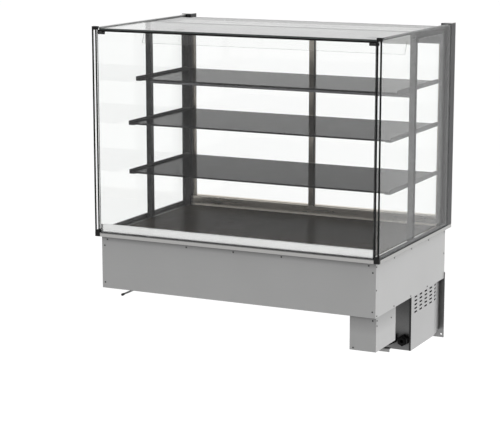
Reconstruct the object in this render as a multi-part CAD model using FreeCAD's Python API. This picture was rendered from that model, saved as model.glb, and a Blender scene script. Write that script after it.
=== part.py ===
import FreeCAD, Part
import math
import os

# Drop-in heated display case. Millimetres, +Z up, +Y to the operator's side (rear), +X to the right.
# X and Y are measured from the middle of the case, Z from the lowest edge of the control panel.

# ---------- overall ----------
WIDTH = 1100.0             # over the outer side panes
DEPTH = 720.0              # over the counter flange
COUNTER_Z = 420.0          # counter top level, where the flange rests
GLASS_TOP_Z = 1175.0       # top of the side walls
HALF_W = WIDTH / 2
HALF_D = DEPTH / 2
SHEET = 1.5                # stainless sheet thickness

# ---------- counter flange and deck ----------
FLANGE_H = 12.0
SEAT_GAP = 0.5             # between the return that lies on the counter and the casing
DECK_HALF_X = 508.0
DECK_FRONT_Y = -338.0
DECK_REAR_Y = 294.0
DECK_T = 6.0
DECK_GAP = 0.5
MAT_INSET = 40.0
MAT_T = 3.0
FLANGE_TOP_Z = COUNTER_Z + FLANGE_H
CORNER_BLOCK_DEPTH = 12.0
UPSTAND_FOLD = 9.0

# ---------- base casing ----------
CASING_HALF_X = 532.5
CASING_FRONT_Y = -342.0
CASING_REAR_Y = 344.0
CASING_BOTTOM_Z = 228.0
TRAY_DEPTH = 46.0
TRAY_INSET = 13.0
CABLE_HOLE_X = (400.0, 480.0)
CABLE_HOLE_Y = (40.0, 120.0)

# ---------- casing screws ----------
SCREW_HEAD_R = 2.6
SCREW_HEAD_H = 1.2
SCREW_R = 1.4
SCREW_HOLE_R = 1.45
FRONT_SCREW_X = (-510.0, -188.0, -3.0, 182.0, 506.0)
FRONT_END_SCREW_X = (-521.0, 521.0)
FRONT_END_SCREW_Z = (385.0, 249.0)
FRONT_SCREW_Z = 408.0
BOX_FRONT_SCREWS = ((520.0, 217.0), (449.0, 116.0))
SIDE_SCREW_Y = (-336.0, -172.0, -6.0, 166.0, 334.0)
SIDE_SCREW_Z = 405.0
SIDE_END_SCREW_Z = 324.0
SIDE_FOOT_SCREW_Y = (-330.0, -170.0, -6.0, 162.0)
SIDE_FOOT_SCREW_Z = 234.0
BOX_SIDE_SCREWS = ((-326.0, 217.0), (-326.0, 199.0), (-194.0, 199.0))

# ---------- service boxes ----------
FRONT_BOX_X = 436.0
FRONT_BOX_FRONT_Y = -334.0
FRONT_BOX_REAR_Y = -152.0
FRONT_BOX_BOTTOM_Z = 108.0
BRACKET_X = (486.5, 498.0, 530.0)      # left end, right side of the hanger, right end of the shelf
BRACKET_Y = (-214.0, -200.0, -176.0)   # start of the seat, the fold down, end of the shelf
BRACKET_SHELF_DROP = 21.0
BRACKET_LIP_DROP = 32.0
STUD_R = 3.0
STUD_LENGTH = 18.0
STUD_INSET = 12.0
STUD_Z = (221.0, 207.0)
REAR_BOX_X = 350.0
REAR_BOX_FRONT_Y = 3.0
REAR_BOX_BEND_Y = 238.0
REAR_BOX_NECK_X = 515.0
REAR_BOX_BOTTOM_Z = 31.0
PANEL_T = 3.0
PANEL_Y = CASING_REAR_Y
PANEL_HOLE_R = 3.5
PANEL_HOLE_INSET = 10.0
PANEL_HOLE_Z = 12.0
PANEL_RIGHT_X = 535.0
PANEL_TOP_Z = 250.0
SLOT_COLUMNS = 5
SLOT_ROWS = 5
SLOT_LENGTH = 26.0
SLOT_HEIGHT = 6.0
SLOT_PITCH_Y = 51.3
SLOT_PITCH_Z = 13.8
SLOT_FIRST_Y = 47.0
SLOT_FIRST_Z = 221.0
SLOT_CUT_DEPTH = 12.0
GLAND_X = (462.0, 508.0)
GLAND_Z = 70.0
GLAND_HOLE_R = 12.6
GLAND_THREAD_R = 12.5
GLAND_THREAD_L = 10.0
GLAND_BORE_R = 6.0
GLAND_HEX_R = 20.0
GLAND_NUT_L = 8.0
GLAND_NECK_R = 15.0
GLAND_NECK_L = 4.0
GLAND_CAP_L = 14.0
GLAND_LIP_R = 13.0
GLAND_LIP_L = 4.0
GLAND_LOCK_NUT_L = 5.0

# ---------- controls ----------
SWITCH_X = 398.0
SWITCH_Z = 182.0
SWITCH_W = 22.0
SWITCH_H = 30.0
SWITCH_FIT = 0.5
BEZEL_W = 30.0
BEZEL_H = 38.0
BEZEL_T = 2.0
SWITCH_BODY_DEPTH = 22.0
POCKET_W = 16.0
POCKET_H = 25.0
POCKET_DEPTH = 8.0
ROCKER_W = 15.0
ROCKER_TILT = 9.0
ROCKER_PIVOT_DEPTH = 3.0
ROCKER_PIN_R = 1.5
ROCKER_PIN_HOLE_R = 1.55
ROCKER_SECTION = ((-4.0, -4.0), (2.0, -11.0), (6.5, -11.0), (5.0, 0.0), (6.5, 11.0), (2.0, 11.0),
                  (-4.0, 4.0))   # (outwards, up) from the pivot
KNOB_X = 462.0
KNOB_Z = 182.0
KNOB_R = 19.0
KNOB_SKIRT_H = 4.0
KNOB_H = 11.0
KNOB_PLAY = 0.5
POINTER_W = 3.0
SHAFT_R = 3.0
SHAFT_HOLE_R = 3.08
SHAFT_L = 18.0
BUSH_R = 4.5
BUSH_HOLE_R = 4.6
THERMOSTAT_W = 44.0
THERMOSTAT_H = 36.0
THERMOSTAT_DEPTH = 30.0
LAMP_X = (430.0, 494.0)
LAMP_Z = 128.0
LAMP_R = 5.0
LAMP_RIM = 1.5
LAMP_LENS_H = 3.0
LAMP_STEM_L = 11.0
LAMP_FIT = 0.1

# ---------- drain tube ----------
DRAIN_X = -485.0
DRAIN_Z = 193.0
DRAIN_R = 3.5
DRAIN_WALL = 1.0
DRAIN_BEND_R = 18.0
DRAIN_REAR_Y = -150.0
DRAIN_FRONT_Y = -281.0
DRAIN_FIT = 0.05
DRAIN_RISE = 14.0
CAP_WALL = 1.2
CAP_L = 10.0
CAP_COVER = 6.0

# ---------- glass housing ----------
PANE_T = 5.0               # side panes
WALL_T = 20.0              # both side panes and the gap between them
FRONT_GLASS_T = 6.0
FRONT_GLASS_TOP_Z = 1164.0
FRONT_GLASS_BOTTOM_Z = 436.0
ROOF_T = 6.0
ROOF_FRONT_Y = -344.0
ROOF_REAR_Y = 266.0
HINGE_Y = -350.0
HINGE_Z = 1160.0
HINGE_BOSS_R = 3.4
HINGE_PIN_R = 2.0
HINGE_HOLE_R = 2.06
HINGE_BLOCK_W = 16.0
HINGE_BLOCK_DEPTH = 15.0
HINGE_BLOCK_H = 8.0
HINGE_CLAMP_W = 11.0
HINGE_CLAMP_RISE = 3.0
HINGE_PLAY = 0.5
HINGE_NECK_H = 4.0
PIN_ROOT = 1.0
PIN_END_PLAY = 1.5
SEAL_H = 4.0
SPACER_W = 6.0
SPACER_REAR_W = 16.0
SPACER_FOOT_H = 8.0
WALL_CAP_H = 3.0
WALL_CAP_L = 16.0
WALL_PLUG_H = 9.0

# ---------- posts, rails and columns ----------
TUBE = 20.0
TUBE_WALL = 1.5
MID_POST_Y = -8.0
REAR_POST_Y = 295.0
RAIL_TOP_Z = 1162.0
CANOPY_RAIL_H = 38.0
CANOPY_SHEET_DROP = 26.0
RIB_Y = (75.0, 165.0, 255.0)
RIB_W = 34.0
RIB_H = 16.0
LAMP_PROFILE_Y = (16.0, 46.0)
LAMP_PROFILE_H = 12.0
LAMP_PROFILE_INSET = 30.0
LAMP_PROFILE_WALL = 2.0
DIFFUSER_T = 3.0
DEFLECTOR_HALF = 512.0
DEFLECTOR_LOWER = (-66.0, 1094.0)
DEFLECTOR_UPPER = (-46.0, 1138.0)
DEFLECTOR_T = 4.0
CLIP_X = (-380.0, 380.0)
CLIP_W = 24.0
CLIP_T = 2.5
COLUMN_WALL = 2.0
COLUMN_CAP_T = 3.0
COLUMN_FRONT_Y = 315.0
HEADER_BOTTOM_Z = 1100.0
HEADER_TOP_Z = 1160.0
SILL_TOP_Z = 464.0
SILL_FRONT_Y = 310.0
FRONT_UPSTAND_TOP_Z = 465.0

# ---------- shelves ----------
SHELF_ARM_BOTTOM_Z = (624.0, 804.0, 960.0)
SHELF_ARM_FRONT_Y = (-175.0, -175.0, -118.0)
SHELF_NAMES = ("lower", "middle", "upper")
ARM_H = 16.0
ARM_T = 3.0
ARM_LIP = 22.0
ARM_LIP_T = 2.0
SHELF_GLASS_T = 6.0
SHELF_PLAY = 0.3
ARM_TAIL = 3.0             # the arm ends this far short of the post's rear face
ARM_TAIL_DROP = 9.0
ARM_TAIL_START = 18.0

# ---------- sliding doors ----------
DOOR_T = 8.0
DOOR_PANE_T = 5.0
DOOR_FRONT_TRACK_Y = 317.0
DOOR_REAR_TRACK_Y = 331.0
DOOR_BOTTOM_Z = 458.5
DOOR_TOP_Z = 1107.0
DOOR_STILE = 20.0
DOOR_JAMB = 14.0
DOOR_GROOVE = 8.0
DOOR_JAMB_GROOVE = 6.0
DOOR_LAP_X = 10.0
DOOR_OUTER_X = 507.0
FINGER_T = 2.0
FINGER_Z = (720.0, 860.0)
TRACK_DEPTH = 7.0
TRACK_PLAY = 1.0

INNER_X = HALF_W - WALL_T          # inside face of the side walls
POST_IN_X = INNER_X - TUBE         # inside face of the posts


def box(x0, x1, y0, y1, z0, z1):
    """Axis-aligned block between two corners."""
    return Part.makeBox(x1 - x0, y1 - y0, z1 - z0, FreeCAD.Vector(x0, y0, z0))


def cylinder(radius, length, start, axis):
    """Round bar from a start point along an axis."""
    return Part.makeCylinder(radius, length, FreeCAD.Vector(*start), FreeCAD.Vector(*axis))


def mirrored(shape):
    """The same shape on the other side of the YZ plane."""
    return shape.mirror(FreeCAD.Vector(0, 0, 0), FreeCAD.Vector(1, 0, 0))


def save(name, *shapes):
    """Write one node; several shapes stay separate solids."""
    shape = shapes[0] if len(shapes) == 1 else Part.makeCompound(list(shapes))
    shape.exportStep("parts/" + name + ".step")


def save_sides(name, right_shape):
    """Write a right-hand node and a left-hand node that mirrors it."""
    save(name + "_right", right_shape)
    save(name + "_left", mirrored(right_shape))


def save_twins(name, right_shape):
    """Write one node that holds the right-hand piece and its left-hand twin."""
    save(name, right_shape, mirrored(right_shape))


def prism_z(points, z0, z1):
    """Straight prism over a plan outline."""
    loop = [FreeCAD.Vector(x, y, z0) for x, y in points]
    face = Part.Face(Part.makePolygon(loop + [loop[0]]))
    return face.extrude(FreeCAD.Vector(0, 0, z1 - z0))


def prism_x(points, x0, x1):
    """Straight prism over a side outline given as (y, z)."""
    loop = [FreeCAD.Vector(x0, y, z) for y, z in points]
    face = Part.Face(Part.makePolygon(loop + [loop[0]]))
    return face.extrude(FreeCAD.Vector(x1 - x0, 0, 0))


# ---------- counter flange, deck and what is under it ----------

def counter_flange():
    """Folded stainless frame: top sheet, outer lip and the return that lies on the counter."""
    outer = box(-HALF_W, HALF_W, -HALF_D, HALF_D, COUNTER_Z, FLANGE_TOP_Z)
    inside = box(-HALF_W + SHEET, HALF_W - SHEET, -HALF_D + SHEET, HALF_D - SHEET,
                 COUNTER_Z + SHEET, FLANGE_TOP_Z - SHEET)
    seat_x = CASING_HALF_X + SEAT_GAP
    below = box(-seat_x, seat_x, CASING_FRONT_Y - SEAT_GAP, CASING_REAR_Y + SEAT_GAP,
                COUNTER_Z, COUNTER_Z + SHEET)
    deck_hole = box(-DECK_HALF_X, DECK_HALF_X, DECK_FRONT_Y, DECK_REAR_Y, COUNTER_Z, FLANGE_TOP_Z)
    frame = outer.cut(inside).cut(below).cut(deck_hole)
    for side in (-1, 1):
        x0 = min(side * HALF_W, side * INNER_X)
        frame = frame.cut(box(x0, x0 + WALL_T, -HALF_D, -HALF_D + CORNER_BLOCK_DEPTH,
                              COUNTER_Z, FLANGE_TOP_Z))
    save("counter_flange", frame)
    block = box(INNER_X, HALF_W, -HALF_D, -HALF_D + CORNER_BLOCK_DEPTH, COUNTER_Z, FLANGE_TOP_Z)
    save_twins("flange_corner_blocks", block)


def heated_deck():
    """Glass-ceramic plate flush with the flange, the heating mat under it and their tray."""
    top = FLANGE_TOP_Z
    under = top - DECK_T
    plate = box(-DECK_HALF_X + DECK_GAP, DECK_HALF_X - DECK_GAP, DECK_FRONT_Y + DECK_GAP,
                DECK_REAR_Y - DECK_GAP, under, top)
    save("heated_deck", plate)
    mat = box(-DECK_HALF_X + MAT_INSET, DECK_HALF_X - MAT_INSET, DECK_FRONT_Y + MAT_INSET,
              DECK_REAR_Y - MAT_INSET, under - MAT_T, under)
    save("heating_mat", mat)
    x1 = DECK_HALF_X - TRAY_INSET
    y0 = DECK_FRONT_Y + TRAY_INSET
    y1 = DECK_REAR_Y - TRAY_INSET
    tray = box(-x1, x1, y0, y1, under - TRAY_DEPTH, under)
    hollow = box(-x1 + SHEET, x1 - SHEET, y0 + SHEET, y1 - SHEET, under - TRAY_DEPTH + SHEET, under)
    save("heater_tray", tray.cut(hollow))


def upstands():
    """Low steel upstand behind the front glass, folded back at its top and foot."""
    y0 = -HALF_D + FRONT_GLASS_T + 4.0
    half = INNER_X - 1.0
    wall = box(-half, half, y0, y0 + SHEET, FLANGE_TOP_Z, FRONT_UPSTAND_TOP_Z)
    hem = box(-half, half, y0, y0 + UPSTAND_FOLD, FRONT_UPSTAND_TOP_Z - SHEET, FRONT_UPSTAND_TOP_Z)
    foot = box(-half, half, y0, y0 + UPSTAND_FOLD, FLANGE_TOP_Z, FLANGE_TOP_Z + SHEET)
    save("front_upstand", wall.fuse([hem, foot]).removeSplitter())


def rear_sill():
    """Stainless sill between the rear columns with the two lower door tracks."""
    sill = box(-POST_IN_X, POST_IN_X, SILL_FRONT_Y, HALF_D, FLANGE_TOP_Z, SILL_TOP_Z)
    hollow = box(-POST_IN_X, POST_IN_X, SILL_FRONT_Y + SHEET, HALF_D - SHEET,
                 FLANGE_TOP_Z, SILL_TOP_Z - TRACK_DEPTH - SHEET)
    sill = sill.cut(hollow)
    for y in (DOOR_FRONT_TRACK_Y, DOOR_REAR_TRACK_Y):
        sill = sill.cut(box(-POST_IN_X, POST_IN_X, y - TRACK_PLAY, y + DOOR_T + TRACK_PLAY,
                            SILL_TOP_Z - TRACK_DEPTH, SILL_TOP_Z))
    save("rear_sill", sill)


# ---------- base casing and service boxes ----------

def front_screw_places():
    """Seats of the screws along the top and the ends of the front sheet."""
    places = [(x, CASING_FRONT_Y, FRONT_SCREW_Z) for x in FRONT_SCREW_X]
    for x in FRONT_END_SCREW_X:
        for z in FRONT_END_SCREW_Z:
            places.append((x, CASING_FRONT_Y, z))
    return places


def side_screw_places():
    """Seats of the screws along the top, the ends and the foot of the right-hand side sheet."""
    places = [(CASING_HALF_X, y, SIDE_SCREW_Z) for y in SIDE_SCREW_Y]
    places += [(CASING_HALF_X, y, SIDE_END_SCREW_Z) for y in (SIDE_SCREW_Y[0], SIDE_SCREW_Y[-1])]
    places += [(CASING_HALF_X, y, SIDE_FOOT_SCREW_Z) for y in SIDE_FOOT_SCREW_Y]
    return places


def drilled(sheet, places, inwards):
    """The sheet with a clearance hole behind each screw seat."""
    return sheet.cut([cylinder(SCREW_HOLE_R, SHEET, place, inwards) for place in places])


def casing():
    """Outer sheets of the base, hung from the flange: front, two sides, rear and floor."""
    x = CASING_HALF_X
    top = FLANGE_TOP_Z - SHEET
    front = box(-x, x, CASING_FRONT_Y, CASING_FRONT_Y + SHEET, CASING_BOTTOM_Z, top)
    save("casing_front", drilled(front, front_screw_places(), (0, 1, 0)))
    save("casing_rear", box(-x, x, CASING_REAR_Y - SHEET, CASING_REAR_Y, CASING_BOTTOM_Z, top))
    side = box(x - SHEET, x, CASING_FRONT_Y + SHEET, CASING_REAR_Y - SHEET, CASING_BOTTOM_Z, top)
    save_twins("casing_sides", drilled(side, side_screw_places(), (-1, 0, 0)))
    floor = box(-x + SHEET, x - SHEET, CASING_FRONT_Y + SHEET, CASING_REAR_Y - SHEET,
                CASING_BOTTOM_Z, CASING_BOTTOM_Z + SHEET)
    cable_hole = box(*CABLE_HOLE_X, *CABLE_HOLE_Y, CASING_BOTTOM_Z, CASING_BOTTOM_Z + SHEET)
    tube_hole = cylinder(DRAIN_R + DRAIN_FIT, SHEET, (DRAIN_X, DRAIN_REAR_Y, CASING_BOTTOM_Z), (0, 0, 1))
    save("casing_floor", floor.cut(cable_hole).cut(tube_hole))


def shell_from_outline(outer, inner, z0, z1):
    """Open-topped sheet box over a plan outline."""
    body = prism_z(outer, z0, z1)
    return body.cut(prism_z(inner, z0 + SHEET, z1))


def rectangle(x0, x1, y0, y1):
    """Plan outline of a rectangle."""
    return [(x0, y0), (x1, y0), (x1, y1), (x0, y1)]


def box_front_screw_places():
    """Seats of the screws on the front of the front service box."""
    return [(x, FRONT_BOX_FRONT_Y, z) for x, z in BOX_FRONT_SCREWS]


def box_side_screw_places():
    """Seats of the screws on the outer side of the front service box."""
    return [(CASING_HALF_X, y, z) for y, z in BOX_SIDE_SCREWS]


def front_service_box():
    """Small box below the front right corner, with a folded bracket under it and two studs behind."""
    x0, x1 = FRONT_BOX_X, CASING_HALF_X
    y0, y1 = FRONT_BOX_FRONT_Y, FRONT_BOX_REAR_Y
    body = shell_from_outline(rectangle(x0, x1, y0, y1),
                              rectangle(x0 + SHEET, x1 - SHEET, y0 + SHEET, y1 - SHEET),
                              FRONT_BOX_BOTTOM_Z, CASING_BOTTOM_Z)
    body = drilled(body, box_front_screw_places(), (0, 1, 0))
    save("front_service_box", drilled(body, box_side_screw_places(), (-1, 0, 0)))
    top = FRONT_BOX_BOTTOM_Z
    shelf_z = top - BRACKET_SHELF_DROP
    left, neck, right = BRACKET_X
    seat_y, fold_y, end_y = BRACKET_Y
    seat = box(left, neck, seat_y, fold_y, top - SHEET, top)
    hanger = box(left, neck, fold_y, fold_y + SHEET, shelf_z, top)
    lip = box(left, right, fold_y, fold_y + SHEET, top - BRACKET_LIP_DROP, shelf_z)
    ledge = box(left, right, fold_y, end_y, shelf_z - SHEET, shelf_z)
    save("service_box_bracket", seat.fuse([hanger, lip, ledge]).removeSplitter())
    studs = [cylinder(STUD_R, STUD_LENGTH, (x1 - STUD_INSET, y1, z), (0, 1, 0)) for z in STUD_Z]
    save("service_box_studs", *studs)


def rear_service_box():
    """Tall box below the rear right corner with louvre slots and two cable gland holes."""
    outer = [(REAR_BOX_X, REAR_BOX_FRONT_Y), (CASING_HALF_X, REAR_BOX_FRONT_Y),
             (CASING_HALF_X, REAR_BOX_BEND_Y), (REAR_BOX_NECK_X, CASING_REAR_Y),
             (REAR_BOX_X, CASING_REAR_Y)]
    inner = [(REAR_BOX_X + SHEET, REAR_BOX_FRONT_Y + SHEET),
             (CASING_HALF_X - SHEET, REAR_BOX_FRONT_Y + SHEET),
             (CASING_HALF_X - SHEET, REAR_BOX_BEND_Y), (REAR_BOX_NECK_X - SHEET, CASING_REAR_Y),
             (REAR_BOX_X + SHEET, CASING_REAR_Y)]
    body = shell_from_outline(outer, inner, REAR_BOX_BOTTOM_Z, CASING_BOTTOM_Z)
    slots = []
    for column in range(SLOT_COLUMNS):
        yc = SLOT_FIRST_Y + column * SLOT_PITCH_Y
        for row in range(SLOT_ROWS):
            zc = SLOT_FIRST_Z - row * SLOT_PITCH_Z
            slots.append(box(CASING_HALF_X - SLOT_CUT_DEPTH, CASING_HALF_X, yc - SLOT_LENGTH / 2,
                             yc + SLOT_LENGTH / 2, zc - SLOT_HEIGHT / 2, zc + SLOT_HEIGHT / 2))
    holes = []
    for x in GLAND_X:
        holes.append(cylinder(GLAND_HOLE_R, SHEET, (x, REAR_BOX_FRONT_Y, GLAND_Z), (0, 1, 0)))
    save("rear_service_box", body.cut(slots + holes))


def hexagon_y(radius, x, z, y0, y1):
    """Hexagonal bar along Y; radius is to the corners."""
    loop = []
    for step in range(6):
        angle = math.radians(60 * step + 30)
        loop.append(FreeCAD.Vector(x + radius * math.cos(angle), y0, z + radius * math.sin(angle)))
    face = Part.Face(Part.makePolygon(loop + [loop[0]]))
    return face.extrude(FreeCAD.Vector(0, y1 - y0, 0))


def cable_glands():
    """Two black cable glands through the front wall of the rear service box."""
    wall = REAR_BOX_FRONT_Y
    neck_y = wall - GLAND_NUT_L - GLAND_NECK_L
    cap_y = neck_y - GLAND_CAP_L
    lip_y = cap_y - GLAND_LIP_L
    glands = []
    for x in GLAND_X:
        base_nut = hexagon_y(GLAND_HEX_R, x, GLAND_Z, wall - GLAND_NUT_L, wall)
        neck = cylinder(GLAND_NECK_R, GLAND_NECK_L, (x, neck_y, GLAND_Z), (0, 1, 0))
        cap = hexagon_y(GLAND_HEX_R - 1.0, x, GLAND_Z, cap_y, neck_y)
        lip = cylinder(GLAND_LIP_R, GLAND_LIP_L, (x, lip_y, GLAND_Z), (0, 1, 0))
        thread = cylinder(GLAND_THREAD_R, GLAND_THREAD_L, (x, wall, GLAND_Z), (0, 1, 0))
        lock_nut = hexagon_y(GLAND_HEX_R, x, GLAND_Z, wall + SHEET, wall + SHEET + GLAND_LOCK_NUT_L)
        bore = cylinder(GLAND_BORE_R, wall + GLAND_THREAD_L - lip_y, (x, lip_y, GLAND_Z), (0, 1, 0))
        glands.append(base_nut.fuse([neck, cap, lip, thread, lock_nut]).cut(bore).removeSplitter())
    save("cable_glands", *glands)


# ---------- controls on the operator's side ----------

def control_panel():
    """Flat panel on the rear of the service box, hung from the base casing."""
    face_y = PANEL_Y + PANEL_T
    plate = box(REAR_BOX_X, PANEL_RIGHT_X, PANEL_Y, face_y, 0.0, PANEL_TOP_Z)
    cuts = [box(SWITCH_X - SWITCH_W / 2, SWITCH_X + SWITCH_W / 2, PANEL_Y, face_y,
                SWITCH_Z - SWITCH_H / 2, SWITCH_Z + SWITCH_H / 2)]
    cuts.append(cylinder(BUSH_HOLE_R, PANEL_T, (KNOB_X, PANEL_Y, KNOB_Z), (0, 1, 0)))
    for x in LAMP_X:
        cuts.append(cylinder(LAMP_R + LAMP_FIT, PANEL_T, (x, PANEL_Y, LAMP_Z), (0, 1, 0)))
    for x in (REAR_BOX_X + PANEL_HOLE_INSET, PANEL_RIGHT_X - PANEL_HOLE_INSET):
        cuts.append(cylinder(PANEL_HOLE_R, PANEL_T, (x, PANEL_Y, PANEL_HOLE_Z), (0, 1, 0)))
    save("control_panel", plate.cut(cuts))


def block_at(x, z, width, height, y0, y1):
    """Block with its front view centred on a point of the panel."""
    return box(x - width / 2, x + width / 2, y0, y1, z - height / 2, z + height / 2)


def rocker_switch():
    """Rocker switch: frame and body in the panel, and the rocker on its pins."""
    face_y = PANEL_Y + PANEL_T
    pivot_y = face_y - ROCKER_PIVOT_DEPTH
    body_w = SWITCH_W - 2 * SWITCH_FIT
    body_h = SWITCH_H - 2 * SWITCH_FIT
    bezel = block_at(SWITCH_X, SWITCH_Z, BEZEL_W, BEZEL_H, face_y, face_y + BEZEL_T)
    body = block_at(SWITCH_X, SWITCH_Z, body_w, body_h, PANEL_Y - SWITCH_BODY_DEPTH, face_y)
    pocket = block_at(SWITCH_X, SWITCH_Z, POCKET_W, POCKET_H, PANEL_Y - POCKET_DEPTH, face_y + BEZEL_T)
    hole_l = body_w - 1.0
    pin_l = hole_l - 1.0
    pin_hole = cylinder(ROCKER_PIN_HOLE_R, hole_l, (SWITCH_X - hole_l / 2, pivot_y, SWITCH_Z), (1, 0, 0))
    save("switch_body", bezel.fuse(body).cut([pocket, pin_hole]).removeSplitter())
    tilt = math.radians(ROCKER_TILT)
    outline = []
    for dy, dz in ROCKER_SECTION:
        outline.append((pivot_y + dy * math.cos(tilt) - dz * math.sin(tilt),
                        SWITCH_Z + dy * math.sin(tilt) + dz * math.cos(tilt)))
    rocker = prism_x(outline, SWITCH_X - ROCKER_W / 2, SWITCH_X + ROCKER_W / 2)
    pins = cylinder(ROCKER_PIN_R, pin_l, (SWITCH_X - pin_l / 2, pivot_y, SWITCH_Z), (1, 0, 0))
    save("switch_rocker", rocker.fuse(pins).removeSplitter())


def thermostat():
    """Thermostat body behind the panel and its knob on the shaft."""
    face_y = PANEL_Y + PANEL_T
    body = block_at(KNOB_X, KNOB_Z, THERMOSTAT_W, THERMOSTAT_H, PANEL_Y - THERMOSTAT_DEPTH, PANEL_Y)
    bush = cylinder(BUSH_R, PANEL_T, (KNOB_X, PANEL_Y, KNOB_Z), (0, 1, 0))
    bore_y = PANEL_Y - SHAFT_L - 2.0
    bore = cylinder(SHAFT_HOLE_R, face_y - bore_y, (KNOB_X, bore_y, KNOB_Z), (0, 1, 0))
    save("thermostat_body", body.fuse(bush).cut(bore).removeSplitter())
    skirt_y = face_y + KNOB_PLAY
    grip_y = skirt_y + KNOB_SKIRT_H
    grip_h = KNOB_H - KNOB_SKIRT_H
    skirt = cylinder(KNOB_R, KNOB_SKIRT_H, (KNOB_X, skirt_y, KNOB_Z), (0, 1, 0))
    grip = cylinder(KNOB_R - 4.0, grip_h, (KNOB_X, grip_y, KNOB_Z), (0, 1, 0))
    pointer = box(KNOB_X - POINTER_W / 2, KNOB_X + POINTER_W / 2, grip_y, grip_y + grip_h + 0.5,
                  KNOB_Z, KNOB_Z + KNOB_R - 2.0)
    shaft = cylinder(SHAFT_R, skirt_y + 0.5 - (PANEL_Y - SHAFT_L), (KNOB_X, PANEL_Y - SHAFT_L, KNOB_Z),
                     (0, 1, 0))
    save("thermostat_knob", skirt.fuse([grip, pointer, shaft]).removeSplitter())


def indicator_lamps():
    """Two round indicator lamps."""
    lamps = []
    for x in LAMP_X:
        stem = cylinder(LAMP_R, LAMP_STEM_L + PANEL_T, (x, PANEL_Y - LAMP_STEM_L, LAMP_Z), (0, 1, 0))
        lens = cylinder(LAMP_R + LAMP_RIM, LAMP_LENS_H, (x, PANEL_Y + PANEL_T, LAMP_Z), (0, 1, 0))
        lamps.append(stem.fuse(lens).removeSplitter())
    save("indicator_lamps", *lamps)


# ---------- drain tube under the left of the base ----------

def drain_pipe(radius, top, front_y):
    """Round bar down from a height, round a bend and forward."""
    eighth = math.pi / 4
    bend_top = FreeCAD.Vector(DRAIN_X, DRAIN_REAR_Y, DRAIN_Z + DRAIN_BEND_R)
    bend_mid = FreeCAD.Vector(DRAIN_X, DRAIN_REAR_Y - DRAIN_BEND_R * (1 - math.cos(eighth)),
                              DRAIN_Z + DRAIN_BEND_R * (1 - math.sin(eighth)))
    bend_end = FreeCAD.Vector(DRAIN_X, DRAIN_REAR_Y - DRAIN_BEND_R, DRAIN_Z)
    start = FreeCAD.Vector(DRAIN_X, DRAIN_REAR_Y, top)
    path = Part.Wire([
        Part.makeLine(start, bend_top),
        Part.Arc(bend_top, bend_mid, bend_end).toShape(),
        Part.makeLine(bend_end, FreeCAD.Vector(DRAIN_X, front_y, DRAIN_Z))])
    ring = Part.makeCircle(radius, start, FreeCAD.Vector(0, 0, -1))
    return path.makePipeShell([Part.Wire(ring)], True, False)


def drain_tube():
    """Thin drain tube through the floor of the base, closed by a black push-on cap."""
    top = CASING_BOTTOM_Z + DRAIN_RISE
    tube = drain_pipe(DRAIN_R, top, DRAIN_FRONT_Y)
    save("drain_tube", tube.cut(drain_pipe(DRAIN_R - DRAIN_WALL, top, DRAIN_FRONT_Y)))
    cap_y = DRAIN_FRONT_Y + CAP_COVER
    cap = cylinder(DRAIN_R + CAP_WALL, CAP_L, (DRAIN_X, cap_y, DRAIN_Z), (0, -1, 0))
    socket = cylinder(DRAIN_R + DRAIN_FIT, CAP_COVER, (DRAIN_X, cap_y, DRAIN_Z), (0, -1, 0))
    save("drain_cap", cap.cut(socket))


# ---------- posts, rails, columns ----------

def tube_z(x, y, z0, z1):
    """Square upright tube from its lower-left plan corner."""
    outer = box(x, x + TUBE, y, y + TUBE, z0, z1)
    return outer.cut(box(x + TUBE_WALL, x + TUBE - TUBE_WALL, y + TUBE_WALL,
                         y + TUBE - TUBE_WALL, z0, z1))


def side_frames():
    """On each side an upright at mid depth, one at the rear and the rail that joins them."""
    rail_z = RAIL_TOP_Z - TUBE
    save_twins("mid_posts", tube_z(POST_IN_X, MID_POST_Y, FLANGE_TOP_Z, rail_z))
    save_twins("rear_posts", tube_z(POST_IN_X, REAR_POST_Y, FLANGE_TOP_Z, rail_z))
    rail = box(POST_IN_X, INNER_X, MID_POST_Y, REAR_POST_Y + TUBE, rail_z, RAIL_TOP_Z)
    bore = box(POST_IN_X + TUBE_WALL, INNER_X - TUBE_WALL, MID_POST_Y, REAR_POST_Y + TUBE,
               rail_z + TUBE_WALL, RAIL_TOP_Z - TUBE_WALL)
    save_twins("top_rails", rail.cut(bore))


def rear_columns():
    """Rear corner columns that close the side walls and hold the doors, with black caps."""
    wall = COLUMN_WALL
    cap_z = GLASS_TOP_Z - COLUMN_CAP_T
    column = box(POST_IN_X, HALF_W, COLUMN_FRONT_Y, HALF_D, FLANGE_TOP_Z, cap_z)
    bore = box(POST_IN_X + wall, HALF_W - wall, COLUMN_FRONT_Y + wall, HALF_D - wall,
               FLANGE_TOP_Z, cap_z)
    save_twins("rear_columns", column.cut(bore))
    cap = box(POST_IN_X, HALF_W, COLUMN_FRONT_Y, HALF_D, cap_z, GLASS_TOP_Z)
    save_twins("column_caps", cap)


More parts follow.
